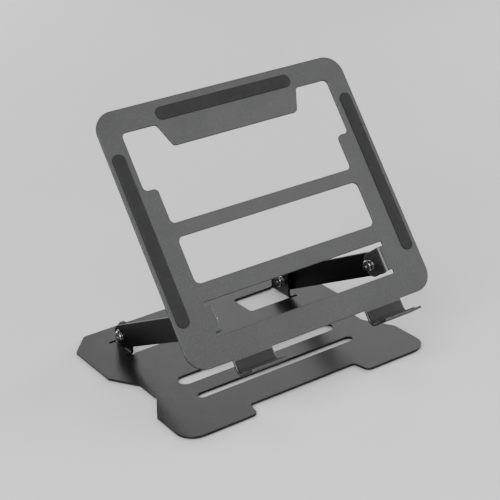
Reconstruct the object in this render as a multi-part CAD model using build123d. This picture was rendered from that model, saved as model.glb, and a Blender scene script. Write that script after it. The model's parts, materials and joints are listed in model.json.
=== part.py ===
"""Foldable laptop stand: a sheet-metal base, a sheet-metal tray and two flat arms between them.

Millimetres, +Z up, front of the stand towards -Y. The origin is the centre of the footprint, on the table.
The stand is built in its raised position. One STEP file is written for each separate piece.
"""

import os
from math import asin, atan2, cos, degrees, hypot, radians, sin

from build123d import *

# ---- sheet metal ------------------------------------------------------------------------------------
SHEET = 2.0  # thickness of the base and of the tray
BEND_IN = 1.6  # inside radius of the bends at the hinge tabs
BEND_OUT = BEND_IN + SHEET
EDGE_BREAK = 0.2  # small chamfer along the plate outlines
CENTRING = 1.21  # moves the stand to the rear, so that the origin is the centre of its footprint

# ---- base plate -------------------------------------------------------------------------------------
FOOT_HEIGHT = 1.5  # rubber feet under the plate
BASE_BOTTOM = FOOT_HEIGHT
BASE_TOP = BASE_BOTTOM + SHEET
BASE_REAR = 125.8
BASE_FRONT = -88.6
REAR_CORNER_X = 105.6  # where the rear edge meets the ear's chamfer
EAR_X = 125.0
EAR_REAR = 102.8
EAR_FRONT = 41.6
WAIST_X = 109.0
WAIST_REAR = 15.0
WAIST_FRONT = -13.7
TOE_X = 124.2
TOE_REAR = -41.2
TOE_CORNER = 17.0
OUTLINE_FILLET = 4.0
RECESS_HALF = (53.4, 56.6)  # notch in the middle of the front edge, at its rear and at its mouth
RECESS_REAR = -72.6
RECESS_CORNERS = (2.5, 5.0)
SLOT_WIDE = (-11.0, 4.2)  # front and rear edge of the wide slot
SLOT_WIDE_HALF = 81.0
SLOT_NARROW = (-38.4, -30.1)
SLOT_NARROW_HALF = 80.5
HAND_HOLE_X = 40.5  # inner edge of the opening that each base tab is cut from
HAND_HOLE = (67.9, 98.7)  # front and rear edge of that opening
HAND_HOLE_CORNER = 3.5
BASE_TAB_IN = 84.3  # inner face of the base tab
BASE_TAB = (69.3, 97.5)  # front and rear edge of the base tab
BASE_RELIEF = (66.5, 100.2)  # front and rear edge of the relief slits beside the base tab
BASE_RELIEF_X = 92.8  # outer end of those slits
BASE_TAB_NOSE = 12.8  # radius of the tab over the pivot
BASE_TAB_HEEL = 17.6  # height of the tab's rear corner

# ---- pivots -----------------------------------------------------------------------------------------
LOWER_PIVOT = (78.4, 17.7)  # y, z
UPPER_PIVOT_V = 35.85  # along the tray, from its lower edge
UPPER_PIVOT_DROP = 17.5  # below the tray's top face
SHANK_R = 2.5
BORE_R = 2.56

# ---- tray -------------------------------------------------------------------------------------------
TRAY_TILT = 54.15  # degrees above the table
TRAY_ORIGIN = (-100.5, 66.66)  # y, z of the lower edge of the tray's top face
TRAY_WIDTH = 240.0
TRAY_LENGTH = 218.0
TRAY_CORNER = 17.0
WINDOW_TOP = 197.8  # upper window, with a tongue that hangs into it
WINDOW_BOTTOM = 117.3
WINDOW_STEP = 148.0
WINDOW_WIDE_HALF = 100.2
WINDOW_NARROW_HALF = 88.5
TONGUE_BOTTOM = 177.3
TONGUE_HALF = 60.3
TONGUE_ROOT_HALF = 68.5
WINDOW_FILLET = 4.0
BAND_WINDOW = (65.4, 105.2)  # middle window, lower and upper edge
BAND_WINDOW_HALF = 88.3
BAND_WINDOW_CORNER = 5.0
HINGE_SLOT = (21.6, 50.3)  # lower window, between the two tray tabs
HINGE_RELIEF_HALF = 88.0
TRAY_TAB = (25.1, 46.6)
TRAY_TAB_IN = 81.2  # inner face of the tray tab

# ---- hooks along the tray's lower edge --------------------------------------------------------------
HOOK_X = (46.6, 83.1)
HOOK_REACH = 14.8  # from the tray's edge to the outside of the lip
HOOK_OUT = 7.3  # outside bend radius
HOOK_LIP = 23.5  # height of the lip's end above the tray's top face
HOOK_PAD = 1.2
HOOK_PAD_INSET = 1.2
HOOK_PAD_TOP = -1.3
HOOK_PAD_LIP = 16.5

# ---- silicone pads on the tray ----------------------------------------------------------------------
PAD_HEIGHT = 1.2
TOP_PAD = (131.2, 11.6, 205.9)  # length, width, place along the tray
SIDE_PAD = (146.8, 11.4, 109.3)
SIDE_PAD_X = 110.9
PAD_EDGE = 0.4

# ---- arms -------------------------------------------------------------------------------------------
ARM_IN = 88.4
ARM_THICK = 2.8
ARM_WIDTH = 21.2
ARM_EDGE_BREAK = 0.45

# ---- pivot hardware ---------------------------------------------------------------------------------
FACE_GAP = 0.1  # between an arm and the washers beside it
WASHER_R = 7.5
OUTER_WASHER_R = 6.6
OUTER_WASHER_THICK = 0.7
SCREW_HEAD_R = 5.7
SCREW_HEAD_THICK = 2.3
SCREW_DOME = 1.9  # rounding of the head's rim
SPRING_R = 4.3
SPRING_PITCH = 0.9  # thickness of one disc spring in the stack
SPRING_COUNT = 4
CAP_HEAD_R = 5.3
CAP_HEAD_THICK = 2.2
CAP_BARREL_R = 3.3
SOCKET_R = 1.75
SOCKET_DEPTH = 1.0
CAP_BORE_DEPTH = 0.6  # how far the screw's bore runs on into the cap nut's head

# ---- rubber feet ------------------------------------------------------------------------------------
FOOT_R = 8.0
FOOT_PLACES = ((107.0, 104.0), (108.0, -62.0))

TRAY_PLANE = Plane(
    origin=(0, TRAY_ORIGIN[0], TRAY_ORIGIN[1]),
    x_dir=(1, 0, 0),
    z_dir=(0, -sin(radians(TRAY_TILT)), cos(radians(TRAY_TILT))),
)


def mirrored(shape):
    """The same shape on the other side of the stand."""
    return mirror(shape, about=Plane.YZ)


def both_sides(shape):
    """A shape together with its mirror image."""
    return shape + mirrored(shape)


def slab(face, low, high):
    """A flat face drawn in plan, made solid between two heights."""
    return extrude(Pos(0, 0, low) * face, high - low)


def side_slab(face, low, high):
    """A face drawn in the y-z plane, made solid between two x values."""
    return extrude(Pos(low, 0, 0) * (Plane.YZ * face), high - low)


def front_slab(face, low, high):
    """A face drawn in the x-z plane, made solid between two y values."""
    return extrude(Pos(0, high, 0) * (Plane.XZ * face), high - low)


def span(x, y):
    """A rectangle between two x values and two y values."""
    return Pos((x[0] + x[1]) / 2, (y[0] + y[1]) / 2) * Rectangle(x[1] - x[0], y[1] - y[0])


def quarter_ring(centre, inner, outer, side_x, side_y):
    """A quarter of a ring, in the quadrant that side_x and side_y point into."""
    ring = Circle(outer) - Circle(inner)
    quadrant = Pos(side_x * outer / 2, side_y * outer / 2) * Rectangle(outer, outer)
    return Pos(*centre) * (ring & quadrant)


def rod(radius, x, pivot):
    """A cylinder along x, around a pivot."""
    return side_slab(Pos(*pivot) * Circle(radius), min(x), max(x))


def tube(outer, inner, x, pivot):
    """A ring along x, around a pivot."""
    return side_slab(Pos(*pivot) * (Circle(outer) - Circle(inner)), min(x), max(x))


def broken_edges(plate):
    """Breaks the outline edges of a flat plate."""
    faces = plate.faces().sort_by(Axis.Z)
    edges = faces[0].edges() + faces[-1].edges()
    return chamfer(edges, EDGE_BREAK)


def outline_points(right_half):
    """A closed symmetric outline from its right half, listed from the rear to the front."""
    return right_half + [(-x, y) for x, y in reversed(right_half)]


def filleted_polygon(points, radius, special=None):
    """A polygon with rounded corners; special gives other radii by corner."""
    special = special or {}
    face = make_face(Polyline(*points, close=True))
    for corner_radius in sorted(set(special.values())):
        corners = [p for p in points if special.get((abs(p[0]), p[1])) == corner_radius]
        picked = [v for v in face.vertices() if any(hypot(v.X - x, v.Y - y) < 1e-3 for x, y in corners)]
        face = fillet(picked, corner_radius)
    plain = [p for p in points if (abs(p[0]), p[1]) not in special]
    picked = [v for v in face.vertices() if any(hypot(v.X - x, v.Y - y) < 1e-3 for x, y in plain)]
    return fillet(picked, radius)


# ---- base -------------------------------------------------------------------------------------------
def base_plate():
    """Plate with ears at the rear, a waist, two toes at the front, slots, and two tabs bent up."""
    right_half = [
        (REAR_CORNER_X, BASE_REAR),
        (EAR_X, EAR_REAR),
        (EAR_X, EAR_FRONT),
        (WAIST_X, WAIST_REAR),
        (WAIST_X, WAIST_FRONT),
        (TOE_X, TOE_REAR),
        (TOE_X, BASE_FRONT),
        (RECESS_HALF[1], BASE_FRONT),
        (RECESS_HALF[0], RECESS_REAR),
    ]
    special = {
        (TOE_X, BASE_FRONT): TOE_CORNER,
        (RECESS_HALF[0], RECESS_REAR): RECESS_CORNERS[0],
        (RECESS_HALF[1], BASE_FRONT): RECESS_CORNERS[1],
    }
    face = filleted_polygon(outline_points(right_half), OUTLINE_FILLET, special)
    for (front, rear), half in ((SLOT_WIDE, SLOT_WIDE_HALF), (SLOT_NARROW, SLOT_NARROW_HALF)):
        face -= Pos(0, (front + rear) / 2) * SlotOverall(2 * half, rear - front)

    bend_x = BASE_TAB_IN + BEND_OUT
    hole = span((HAND_HOLE_X, bend_x), HAND_HOLE)
    inner_corners = hole.vertices().sort_by(Axis.X)[:2]
    hole = fillet(inner_corners, HAND_HOLE_CORNER)
    hole += span((BASE_TAB_IN, BASE_RELIEF_X), (BASE_RELIEF[0], BASE_TAB[0]))
    hole += span((BASE_TAB_IN, BASE_RELIEF_X), (BASE_TAB[1], BASE_RELIEF[1]))
    face -= both_sides(hole)
    plate = broken_edges(slab(face, BASE_BOTTOM, BASE_TOP))

    bend_z = BASE_BOTTOM + BEND_OUT
    bend = front_slab(quarter_ring((bend_x, bend_z), BEND_IN, BEND_OUT, -1, -1), *BASE_TAB)
    tab = side_slab(base_tab_face(bend_z), BASE_TAB_IN, BASE_TAB_IN + SHEET)
    tab -= rod(BORE_R, (BASE_TAB_IN - 1, BASE_TAB_IN + SHEET + 1), LOWER_PIVOT)
    return plate + both_sides(bend + tab)


def base_tab_face(low):
    """Side view of a base tab: straight front edge, round top over the pivot, sloping to the rear corner."""
    y, z = LOWER_PIVOT
    front, rear = BASE_TAB
    reach = hypot(rear - y, BASE_TAB_HEEL - z)
    angle = atan2(BASE_TAB_HEEL - z, rear - y) + radians(90) - asin(BASE_TAB_NOSE / reach)
    touch = (y + BASE_TAB_NOSE * cos(angle), z + BASE_TAB_NOSE * sin(angle))
    body = Polygon((front, low), (rear, low), (rear, BASE_TAB_HEEL), touch, (y, z), (front, z), align=None)
    body += Pos(y, z) * Circle(BASE_TAB_NOSE)
    body = body & span((front, rear), (low, z + BASE_TAB_NOSE + 1))
    shoulder_z = z + (BASE_TAB_NOSE**2 - (y - front) ** 2) ** 0.5
    corners = ((rear, BASE_TAB_HEEL), (front, shoulder_z))
    rounded = [v for v in body.vertices() if any(hypot(v.X - a, v.Y - b) < 1e-3 for a, b in corners)]
    return fillet(rounded, 2.5)


# ---- tray -------------------------------------------------------------------------------------------
def upper_window():
    """The upper window, with side steps, and a tongue left hanging from its top edge."""
    right_half = [
        (TONGUE_ROOT_HALF, WINDOW_TOP),
        (WINDOW_WIDE_HALF, WINDOW_TOP),
        (WINDOW_WIDE_HALF, WINDOW_STEP),
        (WINDOW_NARROW_HALF, WINDOW_STEP),
        (WINDOW_NARROW_HALF, WINDOW_BOTTOM),
    ]
    tongue = [(-TONGUE_ROOT_HALF, WINDOW_TOP), (-TONGUE_HALF, TONGUE_BOTTOM), (TONGUE_HALF, TONGUE_BOTTOM)]
    left_half = [(-x, y) for x, y in reversed(right_half[1:])]
    return filleted_polygon(right_half + left_half + tongue, WINDOW_FILLET)


def hook_face():
    """Side view of a hook: a strap that runs on from the tray and turns up into a lip."""
    turn = -(HOOK_REACH - HOOK_OUT)
    centre = (turn, HOOK_OUT - SHEET)
    face = span((turn, 1.0), (-SHEET, 0))
    face += quarter_ring(centre, HOOK_OUT - SHEET, HOOK_OUT, -1, -1)
    return face + span((-HOOK_REACH, -HOOK_REACH + SHEET), (centre[1], HOOK_LIP))


def hook_pad_face():
    """Side view of the pad that lines a hook."""
    inner = HOOK_OUT - SHEET
    turn = -(HOOK_REACH - HOOK_OUT)
    centre = (turn, inner)
    lip = -HOOK_REACH + SHEET
    face = span((turn, HOOK_PAD_TOP), (0, HOOK_PAD))
    face += quarter_ring(centre, inner - HOOK_PAD, inner, -1, -1)
    return face + span((lip, lip + HOOK_PAD), (inner, HOOK_PAD_LIP))


def tray_tab():
    """The right tray tab, bent down at the end of the hinge slot, with a round end at the pivot."""
    bend_x = TRAY_TAB_IN + BEND_OUT
    middle = (TRAY_TAB[0] + TRAY_TAB[1]) / 2
    nose = (TRAY_TAB[1] - TRAY_TAB[0]) / 2
    pivot = (UPPER_PIVOT_V, -UPPER_PIVOT_DROP)
    flat = slab(span((bend_x, HINGE_RELIEF_HALF + 1), TRAY_TAB), -SHEET, 0)
    bend = front_slab(quarter_ring((bend_x, -BEND_OUT), BEND_IN, BEND_OUT, -1, 1), *TRAY_TAB)
    face = span(TRAY_TAB, (-UPPER_PIVOT_DROP, -BEND_OUT)) + Pos(middle, -UPPER_PIVOT_DROP) * Circle(nose)
    tab = side_slab(face, TRAY_TAB_IN, TRAY_TAB_IN + SHEET)
    return flat + bend + tab - rod(BORE_R, (TRAY_TAB_IN - 1, TRAY_TAB_IN + SHEET + 1), pivot)


def tray_plate():
    """Tray in its own plane: rounded plate, three windows, two tabs bent down and two hooks."""
    face = Pos(0, TRAY_LENGTH / 2) * RectangleRounded(TRAY_WIDTH, TRAY_LENGTH, TRAY_CORNER)
    face -= upper_window()
    band_middle = (BAND_WINDOW[0] + BAND_WINDOW[1]) / 2
    band_height = BAND_WINDOW[1] - BAND_WINDOW[0]
    face -= Pos(0, band_middle) * RectangleRounded(2 * BAND_WINDOW_HALF, band_height, BAND_WINDOW_CORNER)
    face -= span((-HINGE_RELIEF_HALF, HINGE_RELIEF_HALF), HINGE_SLOT)
    plate = broken_edges(slab(face, -SHEET, 0))
    hook = side_slab(hook_face(), *HOOK_X)
    return plate + both_sides(tray_tab() + hook)


def stadium_pad(length, width):
    """A flat pad with round ends, its top edge softened."""
    pad = slab(SlotOverall(length, width), 0, PAD_HEIGHT)
    return fillet(pad.faces().sort_by(Axis.Z)[-1].edges(), PAD_EDGE)


# ---- arms and pivot hardware ------------------------------------------------------------------------
def on_tray(v, rise):
    """y and z of a point given along the tray and above its top face."""
    tilt = radians(TRAY_TILT)
    y = TRAY_ORIGIN[0] + v * cos(tilt) - rise * sin(tilt)
    z = TRAY_ORIGIN[1] + v * sin(tilt) + rise * cos(tilt)
    return (y, z)


UPPER_PIVOT = on_tray(UPPER_PIVOT_V, -UPPER_PIVOT_DROP)


def arm():
    """The right arm: a flat bar on edge, round at both ends, with a bore at each pivot."""
    rise = UPPER_PIVOT[1] - LOWER_PIVOT[1]
    run = UPPER_PIVOT[0] - LOWER_PIVOT[0]
    middle = ((UPPER_PIVOT[0] + LOWER_PIVOT[0]) / 2, (UPPER_PIVOT[1] + LOWER_PIVOT[1]) / 2)
    bar = Pos(*middle) * (Rot(0, 0, degrees(atan2(rise, run))) * SlotCenterToCenter(hypot(run, rise), ARM_WIDTH))
    for pivot in (LOWER_PIVOT, UPPER_PIVOT):
        bar -= Pos(*pivot) * Circle(BORE_R)
    bar = side_slab(bar, ARM_IN, ARM_IN + ARM_THICK)
    return chamfer(bar.faces().filter_by(Axis.X).edges(), ARM_EDGE_BREAK)


def pivot_stack(tab_in, pivot):
    """The hardware of a right-hand pivot: screw, washers, spring stack and cap nut, from outside to inside."""
    tab_out = tab_in + SHEET
    arm_out = ARM_IN + ARM_THICK
    washer_out = arm_out + FACE_GAP + OUTER_WASHER_THICK
    head_out = washer_out + SCREW_HEAD_THICK
    spring_in = tab_in - SPRING_COUNT * SPRING_PITCH
    cap_in = spring_in - CAP_HEAD_THICK

    head = rod(SCREW_HEAD_R, (washer_out, head_out), pivot)
    head = fillet(head.faces().sort_by(Axis.X)[-1].edges(), SCREW_DOME)
    head -= hex_socket(pivot, head_out, -1)
    screw = head + rod(SHANK_R, (spring_in - CAP_BORE_DEPTH + 0.2, washer_out + 0.5), pivot)

    outer_washer = tube(OUTER_WASHER_R, BORE_R, (washer_out - OUTER_WASHER_THICK, washer_out), pivot)
    outer_washer = chamfer(outer_washer.faces().sort_by(Axis.X)[-1].edges().sort_by(SortBy.LENGTH)[-1], 0.25)
    friction_washer = tube(WASHER_R, BORE_R, (tab_out, ARM_IN - FACE_GAP), pivot)

    springs = spring_stack(spring_in, pivot)
    cap = rod(CAP_HEAD_R, (cap_in, spring_in), pivot)
    cap = fillet(cap.faces().sort_by(Axis.X)[0].edges(), 1.2)
    cap += rod(CAP_BARREL_R, (spring_in - 0.2, tab_in - 0.6), pivot)
    cap -= rod(SHANK_R + 0.02, (spring_in - CAP_BORE_DEPTH, tab_in), pivot)
    cap -= hex_socket(pivot, cap_in, 1)
    return {
        "screw": screw,
        "outer_washer": outer_washer,
        "friction_washer": friction_washer,
        "spring_stack": springs,
        "cap_nut": cap,
    }


def hex_socket(pivot, face_x, inward):
    """A hexagonal recess in the end of a screw, cut from its outer face inwards."""
    low, high = sorted((face_x, face_x + inward * SOCKET_DEPTH))
    return side_slab(Pos(*pivot) * RegularPolygon(SOCKET_R, 6), low - 0.01, high + 0.01)


def spring_stack(low, pivot):
    """Disc springs packed on the barrel, drawn as one grooved sleeve."""
    high = low + SPRING_COUNT * SPRING_PITCH
    points = [(CAP_BARREL_R + 0.05, low)]
    for i in range(SPRING_COUNT):
        points.append((SPRING_R - 0.45, low + i * SPRING_PITCH))
        points.append((SPRING_R, low + (i + 0.35) * SPRING_PITCH))
        points.append((SPRING_R, low + (i + 0.65) * SPRING_PITCH))
    points.append((SPRING_R - 0.45, high))
    points.append((CAP_BARREL_R + 0.05, high))
    section = make_face(Polyline(*[(along, radius) for radius, along in points], close=True))
    sleeve = revolve(section, Axis.X)
    return Pos(0, *pivot) * sleeve


def foot():
    """A round rubber foot."""
    pad = Cylinder(FOOT_R, FOOT_HEIGHT, align=(Align.CENTER, Align.CENTER, Align.MIN))
    return fillet(pad.faces().sort_by(Axis.Z)[0].edges(), 0.5)


def all_parts():
    """Every piece by name, in its place."""
    place = TRAY_PLANE.location
    parts = {"base_plate": base_plate(), "tray_plate": place * tray_plate()}
    top_length, top_width, top_v = TOP_PAD
    side_length, side_width, side_v = SIDE_PAD
    parts["top_pad"] = place * (Pos(0, top_v) * stadium_pad(top_length, top_width))
    side_pad = Pos(SIDE_PAD_X, side_v) * (Rot(0, 0, 90) * stadium_pad(side_length, side_width))
    hook_pad = side_slab(hook_pad_face(), HOOK_X[0] + HOOK_PAD_INSET, HOOK_X[1] - HOOK_PAD_INSET)
    right = {
        "side_pad": place * side_pad,
        "hook_pad": place * hook_pad,
        "arm": arm(),
    }
    for level, tab_in, pivot in (("lower", BASE_TAB_IN, LOWER_PIVOT), ("upper", TRAY_TAB_IN, UPPER_PIVOT)):
        for piece, shape in pivot_stack(tab_in, pivot).items():
            right[f"{level}_{piece}"] = shape
    for end, (x, y) in zip(("rear", "front"), FOOT_PLACES):
        right[f"{end}_foot"] = Pos(x, y) * foot()
    for name, shape in right.items():
        parts[f"right_{name}"] = shape
        parts[f"left_{name}"] = mirrored(shape)
    return {name: Pos(0, CENTRING, 0) * shape for name, shape in parts.items()}


os.makedirs("parts", exist_ok=True)
for node, part in all_parts().items():
    export_step(part, f"parts/{node}.step")
    box = part.bounding_box()
    print(f"{node:28s} {part.volume:12.1f}  {box.min}  {box.max}")
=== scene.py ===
"""Looks for the foldable laptop stand: camera, finishes, silicone and rubber pieces, floor, lights.

Everything is in metres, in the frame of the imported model, with the stand raised as it is at rest.
"""

import json
import math

import bmesh
import bpy
from mathutils import Matrix, Vector


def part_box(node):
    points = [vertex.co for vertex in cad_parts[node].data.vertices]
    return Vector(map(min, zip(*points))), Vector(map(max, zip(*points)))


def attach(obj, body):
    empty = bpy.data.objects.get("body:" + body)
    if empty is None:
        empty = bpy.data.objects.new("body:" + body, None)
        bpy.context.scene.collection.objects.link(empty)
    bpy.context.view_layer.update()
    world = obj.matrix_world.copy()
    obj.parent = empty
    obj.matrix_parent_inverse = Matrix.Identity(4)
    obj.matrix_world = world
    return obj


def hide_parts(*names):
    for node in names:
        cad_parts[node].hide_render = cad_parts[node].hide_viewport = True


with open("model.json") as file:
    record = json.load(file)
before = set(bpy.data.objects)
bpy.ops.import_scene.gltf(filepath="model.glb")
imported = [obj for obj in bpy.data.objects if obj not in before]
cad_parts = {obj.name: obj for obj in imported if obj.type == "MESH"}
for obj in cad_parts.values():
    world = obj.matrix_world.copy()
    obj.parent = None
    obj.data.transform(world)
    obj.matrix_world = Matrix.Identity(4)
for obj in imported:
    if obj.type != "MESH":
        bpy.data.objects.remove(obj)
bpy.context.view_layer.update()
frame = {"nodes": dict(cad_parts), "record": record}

MM = 0.001

# ---- camera -------------------------------------------------------------------------------------
CAMERA_RIGHT = Vector((0.831775, -0.551519, -0.063068))
CAMERA_UP = Vector((0.274266, 0.309519, 0.910481))
CAMERA_AT = Vector((-0.558665, -0.898214, 0.575608))
CAMERA_LENS = 98.03  # millimetres, on a 36 mm sensor

camera = bpy.data.objects.new("camera", bpy.data.cameras.new("camera"))
bpy.context.scene.collection.objects.link(camera)
camera.data.sensor_width = 36.0
camera.data.lens = CAMERA_LENS
camera.data.clip_start = 0.05
camera.data.clip_end = 60.0
turn = Matrix((CAMERA_RIGHT, CAMERA_UP, CAMERA_RIGHT.cross(CAMERA_UP))).transposed().to_4x4()
camera.matrix_world = Matrix.Translation(CAMERA_AT) @ turn
bpy.context.scene.camera = camera


# ---- materials ----------------------------------------------------------------------------------
class Finish:
    """A Principled material and the few node shapes that every finish here is made of."""

    def __init__(self, name, roughness, metallic=0.0):
        self.material = bpy.data.materials.new(name)
        self.material.use_nodes = True
        self.tree = self.material.node_tree
        self.shader = self.tree.nodes["Principled BSDF"]
        self.shader.inputs["Metallic"].default_value = metallic
        self.shader.inputs["Roughness"].default_value = roughness
        self.place = self.tree.nodes.new("ShaderNodeTexCoord").outputs["Object"]
        self.rounded = None

    def link(self, source, target):
        self.tree.links.new(source, target)

    def noise(self, size, detail=2.0, stretch=None):
        """Noise whose grains are about that many millimetres across."""
        node = self.tree.nodes.new("ShaderNodeTexNoise")
        node.inputs["Scale"].default_value = 1.0 / (size * MM)
        node.inputs["Detail"].default_value = detail
        if stretch:
            mapping = self.tree.nodes.new("ShaderNodeMapping")
            mapping.inputs["Scale"].default_value = stretch
            self.link(self.place, mapping.inputs["Vector"])
            self.link(mapping.outputs["Vector"], node.inputs["Vector"])
        else:
            self.link(self.place, node.inputs["Vector"])
        return node.outputs["Fac"]

    def ramp(self, source, low, high, low_at=0.3, high_at=0.7):
        """Turns 0..1 into a range of values or colours."""
        node = self.tree.nodes.new("ShaderNodeValToRGB")
        for element, value, at in zip(node.color_ramp.elements, (low, high), (low_at, high_at)):
            element.position = at
            rgb = tuple(value) if hasattr(value, "__len__") else (value,) * 3
            element.color = rgb + (1.0,)
        self.link(source, node.inputs["Fac"])
        return node.outputs["Color"]

    def mix(self, share, low, high):
        node = self.tree.nodes.new("ShaderNodeMix")
        node.data_type = "RGBA"
        for socket, value in (("Factor", share), ("A", low), ("B", high)):
            target = [i for i in node.inputs if i.name == socket and i.enabled][0]
            if hasattr(value, "is_linked"):
                self.link(value, target)
            elif socket == "Factor":
                target.default_value = value
            else:
                target.default_value = tuple(value) + (1.0,)
        return [o for o in node.outputs if o.enabled][0]

    def edges(self, radius):
        """1 along convex and concave edges, 0 on the flat; it also rounds the shading there."""
        bevel = self.tree.nodes.new("ShaderNodeBevel")
        bevel.samples = 6
        bevel.inputs["Radius"].default_value = radius * MM
        self.rounded = bevel.outputs["Normal"]
        geometry = self.tree.nodes.new("ShaderNodeNewGeometry")
        dot = self.tree.nodes.new("ShaderNodeVectorMath")
        dot.operation = "DOT_PRODUCT"
        self.link(bevel.outputs["Normal"], dot.inputs[0])
        self.link(geometry.outputs["Normal"], dot.inputs[1])
        return self.ramp(dot.outputs["Value"], 1.0, 0.0, 0.72, 0.97)

    def bump(self, layers):
        """Stacks bumps; each layer is a height source and its depth in millimetres."""
        normal = self.rounded
        for height, depth in layers:
            node = self.tree.nodes.new("ShaderNodeBump")
            node.inputs["Strength"].default_value = 1.0
            node.inputs["Distance"].default_value = depth * MM
            self.link(height, node.inputs["Height"])
            if normal:
                self.link(normal, node.inputs["Normal"])
            normal = node.outputs["Normal"]
        self.link(normal, self.shader.inputs["Normal"])


def powder_coat(
    name, colour, roughness, grain=1.0, depth=0.07, rub_and_highlight_gain=1.6, grazing=1.0, rim=0.6
):
    """Satin powder coat on sheet steel: fine grain with pale specks painted as glints, faint
    clouding, edges brightened as painted highlights on a patchily rubbed coat.

    Grain, depth and rim (the width of the brightened edge) are in millimetres. The edge gain is how
    much brighter the edges are than the coat, rubbed coat and painted highlight together, and
    grazing below 1 holds back the reflection at a flat angle.
    """
    finish = Finish(name, roughness, metallic=0.88)
    finish.shader.inputs["Specular Tint"].default_value = (grazing, grazing, grazing, 1.0)
    cloud = finish.noise(38.0, 3.0)
    speck = finish.noise(grain, 1.0)
    dark = [c * 0.96 for c in colour]
    light = [c * 1.04 for c in colour]
    base = finish.mix(finish.ramp(cloud, 0.0, 1.0), dark, light)
    # painted glints: pale specks in the coat's colour stand in for the sparkle of its grain
    bright = [c * 1.6 for c in colour]
    glint = finish.mix(finish.ramp(speck, 0.0, 0.55, 0.55, 0.78), base, bright)
    # painted highlight: the edge mask brightens the coat along its edges, partly as a rubbed coat
    # and partly in place of the highlights the edges catch
    rub_and_highlight_edges = finish.edges(rim)
    patchy = finish.ramp(finish.noise(3.5, 3.0), 0.25, 1.0, 0.35, 0.65)
    share = finish.mix(rub_and_highlight_edges, (0, 0, 0), (1, 1, 1))
    patches = finish.tree.nodes.new("ShaderNodeMath")
    patches.operation = "MULTIPLY"
    finish.link(share, patches.inputs[0])
    finish.link(patchy, patches.inputs[1])
    # edge colour: the coat times the edge gain, painted highlight and rubbed coat in one
    edge_highlight_tone = [min(1.0, c * rub_and_highlight_gain) for c in colour]
    final = finish.mix(patches.outputs["Value"], glint, edge_highlight_tone)
    finish.link(final, finish.shader.inputs["Base Color"])
    rough = finish.ramp(finish.noise(9.0, 4.0), roughness - 0.012, roughness + 0.012)
    finish.link(rough, finish.shader.inputs["Roughness"])
    finish.bump([(finish.noise(grain, 2.0), depth), (finish.noise(1.8, 0.0), depth * 0.45)])
    return finish.material


def silicone(name, colour, roughness):
    """Matt silicone with a fine moulded grain, a dusting of lint-pale specks and a soft sheen."""
    finish = Finish(name, roughness)
    finish.shader.inputs["Specular IOR Level"].default_value = 0.29
    finish.shader.inputs["Sheen Weight"].default_value = 0.06
    cloud = finish.noise(14.0, 3.0)
    dark = [c * 0.88 for c in colour]
    light = [c * 1.12 for c in colour]
    base = finish.mix(finish.ramp(cloud, 0.0, 1.0), dark, light)
    dust = finish.ramp(finish.noise(0.7, 2.0), 0.0, 0.35, 0.66, 0.80)
    dusty = finish.mix(dust, base, [c * 1.6 for c in colour])
    finish.link(dusty, finish.shader.inputs["Base Color"])
    rough = finish.ramp(finish.noise(5.0, 3.0), roughness - 0.05, roughness + 0.05)
    finish.link(rough, finish.shader.inputs["Roughness"])
    finish.bump([(finish.noise(0.4, 2.0), 0.02), (finish.noise(1.8, 2.0), 0.015)])
    return finish.material


def rubber(name, colour):
    """Dull moulded rubber with scuffs."""
    finish = Finish(name, 0.7)
    finish.shader.inputs["Specular IOR Level"].default_value = 0.3
    scuff = finish.ramp(finish.noise(2.2, 5.0, (1.0, 3.0, 1.0)), 0.0, 1.0, 0.5, 0.75)
    scuffed = finish.mix(scuff, colour, [c * 2.2 for c in colour])
    finish.link(scuffed, finish.shader.inputs["Base Color"])
    rough = finish.ramp(finish.noise(3.0, 3.0), 0.62, 0.8)
    finish.link(rough, finish.shader.inputs["Roughness"])
    finish.bump([(finish.noise(0.5, 2.0), 0.03)])
    return finish.material


def turned_steel(name, colour, roughness):
    """Plated steel turned on a lathe: fine rings, a little tarnish, corners brightened partly as
    rubbed plating and partly as painted highlight.
    """
    finish = Finish(name, roughness, metallic=1.0)
    tarnish = finish.ramp(finish.noise(1.6, 4.0), 0.0, 1.0, 0.42, 0.72)
    plain = finish.mix(tarnish, colour, [c * 0.62 for c in colour])
    # painted highlight: corners brightened partly as rubbed plating and partly in place of the
    # glints on the rims
    rub_and_highlight_edges = finish.edges(0.25)
    bright = [min(1.0, c * 1.35) for c in colour]
    finish.link(finish.mix(rub_and_highlight_edges, plain, bright), finish.shader.inputs["Base Color"])
    rough = finish.ramp(finish.noise(1.1, 3.0), roughness - 0.06, roughness + 0.09)
    finish.link(rough, finish.shader.inputs["Roughness"])
    finish.bump([(finish.noise(0.35, 2.0, (4.0, 0.35, 0.35)), 0.012)])
    return finish.material


def nylon(name, colour):
    """Black nylon washer stock: smooth, with faint moulding haze."""
    finish = Finish(name, 0.45)
    haze = finish.ramp(finish.noise(2.0, 3.0), 0.0, 1.0)
    hazy = finish.mix(haze, colour, [c * 1.7 for c in colour])
    finish.link(hazy, finish.shader.inputs["Base Color"])
    finish.link(finish.ramp(finish.noise(1.3, 2.0), 0.38, 0.55), finish.shader.inputs["Roughness"])
    finish.bump([(finish.noise(0.6, 2.0), 0.012)])
    return finish.material


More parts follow.
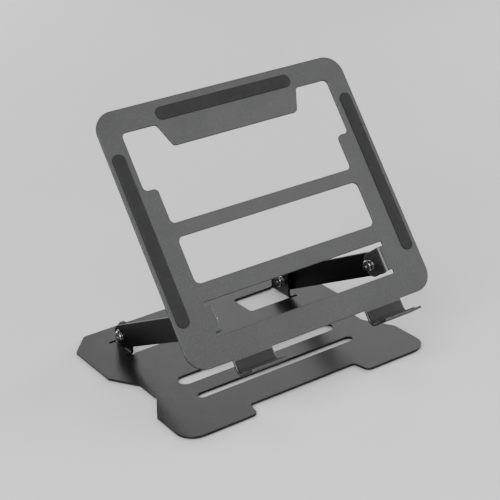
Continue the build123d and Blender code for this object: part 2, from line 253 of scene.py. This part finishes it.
finishes = {
    "base_metal": powder_coat("base_coat", (0.0215, 0.0217, 0.0222), 0.30, grain=0.9, depth=0.11),
    # tray edges brightened four times over the coat: painted highlight as well as a rubbed coat
    "tray_metal": powder_coat(
        "tray_coat", (0.0535, 0.0538, 0.0549), 0.41, depth=0.05, rub_and_highlight_gain=4.0, grazing=0.45, rim=0.8
    ),
    # arm edges brightened sixteen times over the coat: mostly a painted highlight
    "arm_metal": powder_coat(
        "arm_coat", (0.0065, 0.0065, 0.0068), 0.32, depth=0.03, rub_and_highlight_gain=16.0, grazing=0.6
    ),
    "pad_silicone": silicone("pad_silicone", (0.0080, 0.0080, 0.0083), 0.64),
    "hook_silicone": silicone("hook_silicone", (0.0105, 0.0105, 0.0108), 0.60),
    "foot_rubber": rubber("foot_rubber", (0.016, 0.016, 0.017)),
    "friction_nylon": nylon("friction_nylon", (0.020, 0.020, 0.021)),
    "spring_steel": turned_steel("spring_steel", (0.22, 0.22, 0.225), 0.34),
    "fastener_steel": turned_steel("fastener_steel", (0.17, 0.17, 0.177), 0.16),
}
for part in frame["record"]["subparts"]:
    node = frame["nodes"][part["node"]]
    for material_slot in node.material_slots:
        material_slot.material = finishes[part["material_slot"]]


# ---- tray frame ---------------------------------------------------------------------------------
mounts = {m["name"]: m for m in frame["record"]["mounts"]}
TRAY_NORMAL = Vector(mounts["tray_face"]["axis"]).normalized()
ACROSS = Vector((1.0, 0.0, 0.0))
UP_TRAY = TRAY_NORMAL.cross(ACROSS)
PAD_HEIGHT = 1.2 * MM
TOP_PAD_PLACE = 205.9 * MM  # from the tray's lower edge to the middle of the top pad


def new_piece(name, bm, body, slot, stands_for):
    """A mesh piece that rides on a body, takes a slot's finish and stands for a CAD node."""
    bmesh.ops.recalc_face_normals(bm, faces=bm.faces)
    mesh = bpy.data.meshes.new(name)
    bm.to_mesh(mesh)
    bm.free()
    for polygon in mesh.polygons:
        polygon.use_smooth = True
    piece = bpy.data.objects.new(name, mesh)
    bpy.context.scene.collection.objects.link(piece)
    mesh.materials.append(finishes[slot])
    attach(piece, body)
    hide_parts(stands_for)
    return piece


def soften(piece, width, segments, angle):
    """Rounds a piece's sharp edges."""
    bevel = piece.modifiers.new("round", "BEVEL")
    bevel.width = width
    bevel.segments = segments
    bevel.limit_method = "ANGLE"
    bevel.angle_limit = math.radians(angle)


def loft(bm, rings):
    """Quads between rings of points that all have the same count, closed at both ends."""
    made = [[bm.verts.new(p) for p in ring] for ring in rings]
    for low, high in zip(made, made[1:]):
        for i in range(len(low)):
            j = (i + 1) % len(low)
            bm.faces.new((low[i], low[j], high[j], high[i]))
    bm.faces.new(made[0])
    bm.faces.new(made[-1])


# ---- silicone strips on the tray ----------------------------------------------------------------
STADIUM_STEPS = 28


def stadium(half_straight, radius):
    """Points round a stadium, as (along, across)."""
    points = []
    for side in (1, -1):
        for i in range(STADIUM_STEPS + 1):
            angle = -math.pi / 2 + math.pi * i / STADIUM_STEPS
            along = half_straight + radius * math.cos(angle)
            points.append((side * along, side * radius * math.sin(angle)))
    return points


def strip(node, along):
    """A silicone strip in the place of a CAD pad, with a rolled edge and a slight crown."""
    low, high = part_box(node)
    centre = (low + high) / 2
    size = high - low
    cos_tilt, sin_tilt = TRAY_NORMAL.z, -TRAY_NORMAL.y
    other = (size.y - PAD_HEIGHT * sin_tilt) / cos_tilt
    length, width = (size.x, other) if along == "x" else (other, size.x)
    first, second = (ACROSS, UP_TRAY) if along == "x" else (UP_TRAY, ACROSS)
    foot = centre - TRAY_NORMAL * PAD_HEIGHT / 2
    half_straight = (length - width) / 2
    # inset from the outline and height over the tray, in millimetres
    profile = [(0.0, 0.0), (0.0, 0.30), (0.03, 0.62), (0.12, 0.86), (0.30, 1.00), (0.55, 1.07)]
    profile += [(0.95, 1.10), (1.8, 1.14), (3.2, 1.18), (width / 2 / MM - 0.15, 1.20)]
    bm = bmesh.new()
    rings = []
    for inset, height in profile:
        ring = stadium(half_straight, width / 2 - inset * MM)
        rings.append([foot + first * a + second * b + TRAY_NORMAL * (height * MM) for a, b in ring])
    loft(bm, rings)
    new_piece(f"{node}_strip", bm, "tray", "pad_silicone", node)


strip("top_pad", "x")
strip("right_side_pad", "v")
strip("left_side_pad", "v")


# ---- silicone linings of the hooks --------------------------------------------------------------
HOOK_REACH = 14.8 * MM
HOOK_BEND = 5.3 * MM  # inside radius of the hook's bend
SHEET = 2.0 * MM
LINING = 1.2 * MM
LINING_START = -1.3 * MM
LINING_END = 16.5 * MM
LINING_HEEL = 0.5 * MM  # length of the thinned end at the tray
LINING_TIP = 0.6 * MM  # length of the thinned end at the lip
BEND_STEPS = 14


def tray_edge_point():
    """The middle of the tray's lower edge, on its top face."""
    low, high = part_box("top_pad")
    centre = (low + high) / 2 - TRAY_NORMAL * PAD_HEIGHT / 2
    return centre - UP_TRAY * TOP_PAD_PLACE


EDGE_POINT = tray_edge_point()


def lining(node):
    """A silicone lining bent to the inside of a hook, with a thinned lip edge and softened ends."""
    low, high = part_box(node)
    turn_v = -(HOOK_REACH - HOOK_BEND - SHEET)
    outer, inner = [(LINING_START, 0.0)], [(LINING_START, LINING * 0.75)]
    inner.append((LINING_START - LINING_HEEL, LINING))
    outer.append((LINING_START - LINING_HEEL, 0.0))
    for i in range(BEND_STEPS + 1):
        angle = -math.pi / 2 - math.pi / 2 * i / BEND_STEPS
        for points, radius in ((outer, HOOK_BEND), (inner, HOOK_BEND - LINING)):
            points.append((turn_v + radius * math.cos(angle), HOOK_BEND + radius * math.sin(angle)))
    lip = -HOOK_REACH + SHEET
    outer += [(lip, LINING_END - LINING_TIP), (lip, LINING_END)]
    inner += [(lip + LINING, LINING_END - LINING_TIP), (lip + LINING * 0.7, LINING_END)]
    section = outer + inner[::-1]
    bm = bmesh.new()
    rings = []
    for x in (low.x, high.x):
        start = EDGE_POINT + ACROSS * x
        rings.append([start + UP_TRAY * v + TRAY_NORMAL * o for v, o in section])
    loft(bm, rings)
    piece = new_piece(f"{node}_lining", bm, "tray", "hook_silicone", node)
    soften(piece, 0.28 * MM, 3, 40.0)


lining("right_hook_pad")
lining("left_hook_pad")


# ---- rubber feet --------------------------------------------------------------------------------
FOOT_RADIUS = 8.0  # millimetres, at which the profile below is drawn
FOOT_SIDES = 72
# radius and height of a foot, in millimetres, from the middle of its tread round to the base
FOOT_PROFILE = [(1.1, 0.35), (1.25, 0.05), (1.5, 0.0), (2.4, 0.0), (2.6, 0.05), (2.75, 0.4)]
FOOT_PROFILE += [(3.3, 0.4), (3.45, 0.05), (3.7, 0.0), (4.7, 0.0), (4.9, 0.05), (5.05, 0.4)]
FOOT_PROFILE += [(5.5, 0.4), (5.65, 0.05), (5.9, 0.0), (7.4, 0.0), (7.75, 0.10), (7.95, 0.35)]
FOOT_PROFILE += [(8.0, 0.6), (8.0, 1.3), (7.9, 1.5)]


def tread_foot(node):
    """A round foot with a rolled rim and rings moulded into the face that meets the table."""
    low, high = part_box(node)
    centre = (low + high) / 2
    scale = (high.x - low.x) / 2 / FOOT_RADIUS
    bm = bmesh.new()
    rings = []
    for r, z in FOOT_PROFILE:
        ring = []
        for i in range(FOOT_SIDES):
            angle = 2 * math.pi * i / FOOT_SIDES
            x = centre.x + r * scale * math.cos(angle)
            y = centre.y + r * scale * math.sin(angle)
            ring.append(Vector((x, y, low.z + z * MM)))
        rings.append(ring)
    loft(bm, rings)
    new_piece(f"{node}_tread", bm, "base", "foot_rubber", node)


for side in ("right", "left"):
    for end in ("rear", "front"):
        tread_foot(f"{side}_{end}_foot")


# ---- floor and lights ---------------------------------------------------------------------------
FLOOR_RADIUS = 14.0
FLOOR_DROP = 0.0002  # keeps the floor clear of the feet


def make_floor():
    """A wide pale floor under the stand."""
    bm = bmesh.new()
    bmesh.ops.create_circle(bm, cap_ends=True, segments=96, radius=FLOOR_RADIUS)
    mesh = bpy.data.meshes.new("floor")
    bm.to_mesh(mesh)
    bm.free()
    floor = bpy.data.objects.new("floor", mesh)
    bpy.context.scene.collection.objects.link(floor)
    floor.location.z = -FLOOR_DROP
    finish = Finish("floor", 0.75)
    cloud = finish.ramp(finish.noise(900.0, 2.0), 0.0, 1.0)
    tone = finish.mix(cloud, (0.60, 0.60, 0.60), (0.63, 0.63, 0.63))
    finish.link(tone, finish.shader.inputs["Base Color"])
    finish.bump([(finish.noise(1.2, 2.0), 0.02)])
    mesh.materials.append(finish.material)


AIM = Vector((0.0, 0.0, 0.10))  # the middle of the stand


def softbox(name, direction, distance, size, power):
    """A soft white light, so many watts, that looks at the middle of the stand."""
    light = bpy.data.lights.new(name, "AREA")
    light.shape = "RECTANGLE"
    light.size, light.size_y = size
    light.energy = power
    lamp = bpy.data.objects.new(name, light)
    bpy.context.scene.collection.objects.link(lamp)
    lamp.location = AIM + Vector(direction).normalized() * distance
    lamp.rotation_mode = "QUATERNION"
    lamp.rotation_quaternion = (AIM - lamp.location).to_track_quat("-Z", "Y")


make_floor()
softbox("rear_box", (0.56, 0.72, 0.50), 2.2, (1.5, 1.0), 11.8)
softbox("front_box", (0.50, -0.62, 0.62), 2.4, (1.6, 1.6), 30.0)
softbox("top_box", (-0.10, 0.05, 1.0), 2.2, (0.9, 0.9), 8.0)
softbox("left_strip", (-0.62, -0.50, 0.52), 1.8, (1.4, 0.9), 50.0)
softbox("rim_box", (-0.16, 1.0, 0.13), 2.0, (1.3, 0.60), 28.0)
softbox("right_strip", (1.0, 0.06, 0.14), 1.8, (0.7, 0.5), 22.0)

world = bpy.data.worlds.new("studio")
bpy.context.scene.world = world
world.use_nodes = True
background = world.node_tree.nodes["Background"]
background.inputs["Color"].default_value = (0.62, 0.62, 0.62, 1.0)
background.inputs["Strength"].default_value = 0.42
